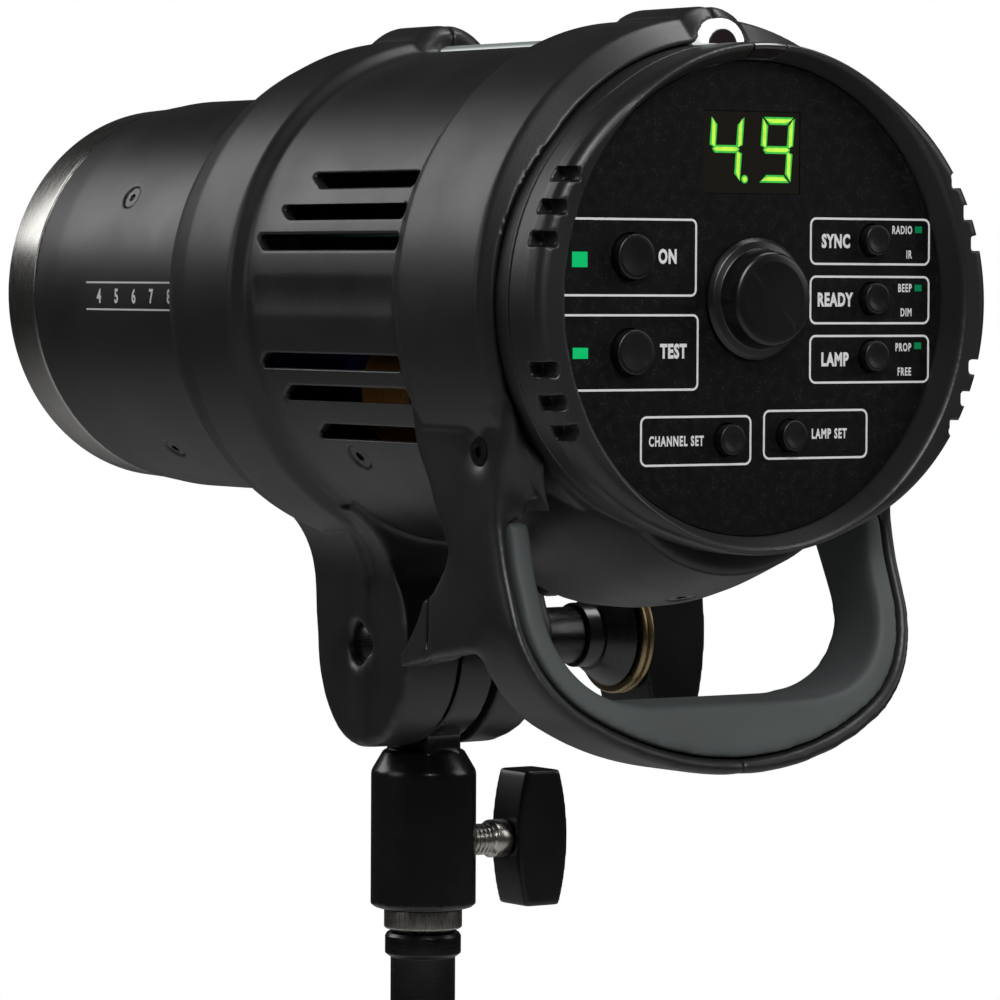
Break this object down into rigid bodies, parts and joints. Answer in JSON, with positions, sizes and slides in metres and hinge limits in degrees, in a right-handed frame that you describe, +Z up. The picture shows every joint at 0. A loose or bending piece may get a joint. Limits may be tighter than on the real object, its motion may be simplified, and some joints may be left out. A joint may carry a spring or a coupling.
{
  "type": "monolight strobe",
  "caption": "Self-contained studio flash head with a round control panel, swept carrying handle, ringed barrel for light shapers and a tilting stand adapter.",
  "frame": {"origin": "centre of the stand socket's mouth, on the stand's axis", "axes": "+Y the way the light travels, +X the operator's right when standing behind the control panel, +Z up the stand"},
  "size_m": [0.142, 0.2654, 0.2226],
  "materials": {
    "body_black": "fine moulded grain",
    "trim_black": "smooth moulded",
    "painted_black": "satin black coat",
    "soft_grip": "soft touch",
    "satin_metal": "dark satin",
    "steel": "bright zinc",
    "brass": "plain",
    "panel": "printed film",
    "display": "dark window with lit segments",
    "led_green": "lit",
    "dark_window": "smoked",
    "light_bar": "clear to milky",
    "glass": "frosted",
    "tube_glass": "clear quartz",
    "reflector": "bright",
    "ceramic": "fired ceramic",
    "board": "coated laminate",
    "sleeve": "shrink sleeve",
    "copper": "enamelled copper wire",
    "friction": "pressed friction lining",
    "contact": "plated"
  },
  "bodies": {
    "adapter": {"stand_adapter": "painted_black", "socket_bush": "steel"},
    "head": {"left_housing": "body_black", "right_housing": "body_black", "left_handle_frame": "body_black", "right_handle_frame": "body_black", "handle_grip": "soft_grip", "rear_cover": "body_black", "panel_bezel": "body_black", "control_panel": "panel", "display_module": "display", "status_leds": "led_green", "infrared_window": "dark_window", "sensor_light_bar": "light_bar", "sensor_core": "dark_window", "barrel": "body_black", "front_ring": "satin_metal", "front_glass": "glass", "reflector_dish": "reflector", "flash_tube": "tube_glass", "modelling_lamp": "tube_glass", "lamp_socket": "ceramic", "lamp_carrier": "ceramic", "barrel_screws": "steel", "housing_screws": "steel", "tilt_axle": "steel", "tilt_friction_discs": "friction", "umbrella_tube": "satin_metal", "dial_encoder": "trim_black", "panel_board": "board", "power_board": "board", "capacitors": "sleeve", "charge_coil": "copper", "fan_frame": "trim_black", "connector_plate": "trim_black", "mains_inlet": "trim_black", "inlet_pins": "contact", "sync_sockets": "contact", "data_port": "steel", "fuse_cap": "trim_black"},
    "clamp_tip": {"clamp_tip": "brass"},
    "clamp_knob": {"clamp_screw": "steel", "clamp_knob": "trim_black"},
    "tilt_washer": {"tilt_washer": "steel"},
    "tilt_knob": {"tilt_knob": "trim_black", "tilt_knob_ring": "satin_metal"},
    "umbrella_lock_tip": {"umbrella_lock_tip": "brass"},
    "umbrella_lock_screw": {"umbrella_lock_screw": "trim_black"},
    "dial": {"dial": "trim_black", "dial_shaft": "steel"},
    "fan_rotor": {"fan_rotor": "trim_black"},
    "power_rocker": {"power_rocker": "trim_black"},
    "on_button": {"on_button": "trim_black"},
    "test_button": {"test_button": "trim_black"},
    "slave_button": {"slave_button": "trim_black"},
    "ready_button": {"ready_button": "trim_black"},
    "model_button": {"model_button": "trim_black"},
    "channel_button": {"channel_button": "trim_black"},
    "lamp_set_button": {"lamp_set_button": "trim_black"}
  },
  "joints": [
    {"name": "head_tilt", "type": "hinge", "parent": "adapter", "child": "head", "pos_m": [0, 0, 0.071], "axis": [1, 0, 0], "range_deg": [-80, 60]},
    {"name": "stand_clamp_travel", "type": "slide", "parent": "adapter", "child": "clamp_tip", "axis": [-1, 0, 0], "range_m": [-0.00375, 0.00057]},
    {"name": "stand_clamp_turn", "type": "hinge", "parent": "clamp_tip", "child": "clamp_knob", "pos_m": [0, 0, 0.021], "axis": [-1, 0, 0], "range_deg": [-1084, 169]},
    {"name": "tilt_lock_travel", "type": "slide", "parent": "head", "child": "tilt_washer", "axis": [-1, 0, 0], "range_m": [-0.0015, 0.00038]},
    {"name": "tilt_lock_turn", "type": "hinge", "parent": "tilt_washer", "child": "tilt_knob", "pos_m": [0, 0, 0.071], "axis": [-1, 0, 0], "range_deg": [-364, 94]},
    {"name": "umbrella_lock_travel", "type": "slide", "parent": "head", "child": "umbrella_lock_tip", "axis": [1, 0, 0], "range_m": [-0.0014, 0.00078]},
    {"name": "umbrella_lock_turn", "type": "hinge", "parent": "umbrella_lock_tip", "child": "umbrella_lock_screw", "pos_m": [0, -0.0546, 0.09], "axis": [1, 0, 0], "range_deg": [-724, 404]},
    {"name": "dial_turn", "type": "hinge", "parent": "head", "child": "dial", "pos_m": [0, -0.1366, 0.156], "axis": [0, 1, 0], "continuous": true},
    {"name": "on_press", "type": "slide", "parent": "head", "child": "on_button", "axis": [0, 1, 0], "range_m": [0, 0.0009], "stiffness_N_per_m": 900, "springref_m": -0.0004},
    {"name": "test_press", "type": "slide", "parent": "head", "child": "test_button", "axis": [0, 1, 0], "range_m": [0, 0.0009], "stiffness_N_per_m": 900, "springref_m": -0.0004},
    {"name": "slave_press", "type": "slide", "parent": "head", "child": "slave_button", "axis": [0, 1, 0], "range_m": [0, 0.0009], "stiffness_N_per_m": 900, "springref_m": -0.0004},
    {"name": "ready_press", "type": "slide", "parent": "head", "child": "ready_button", "axis": [0, 1, 0], "range_m": [0, 0.0009], "stiffness_N_per_m": 900, "springref_m": -0.0004},
    {"name": "model_press", "type": "slide", "parent": "head", "child": "model_button", "axis": [0, 1, 0], "range_m": [0, 0.0009], "stiffness_N_per_m": 900, "springref_m": -0.0004},
    {"name": "channel_press", "type": "slide", "parent": "head", "child": "channel_button", "axis": [0, 1, 0], "range_m": [0, 0.0009], "stiffness_N_per_m": 900, "springref_m": -0.0004},
    {"name": "lamp_set_press", "type": "slide", "parent": "head", "child": "lamp_set_button", "axis": [0, 1, 0], "range_m": [0, 0.0009], "stiffness_N_per_m": 900, "springref_m": -0.0004},
    {"name": "power_rocker_tip", "type": "hinge", "parent": "head", "child": "power_rocker", "pos_m": [0.0409, -0.0299, 0.1295], "axis": [0, 1, 0], "range_deg": [-16, 0]},
    {"name": "fan_spin", "type": "hinge", "parent": "head", "child": "fan_rotor", "pos_m": [0, 0.0394, 0.156], "axis": [0, 1, 0], "continuous": true}
  ],
  "couplings": [
    {"joint": "stand_clamp_turn", "follows": "stand_clamp_travel", "rad_per_m": 5026.5},
    {"joint": "tilt_lock_turn", "follows": "tilt_lock_travel", "rad_per_m": 4188.8},
    {"joint": "umbrella_lock_turn", "follows": "umbrella_lock_travel", "rad_per_m": 8976}
  ]
}
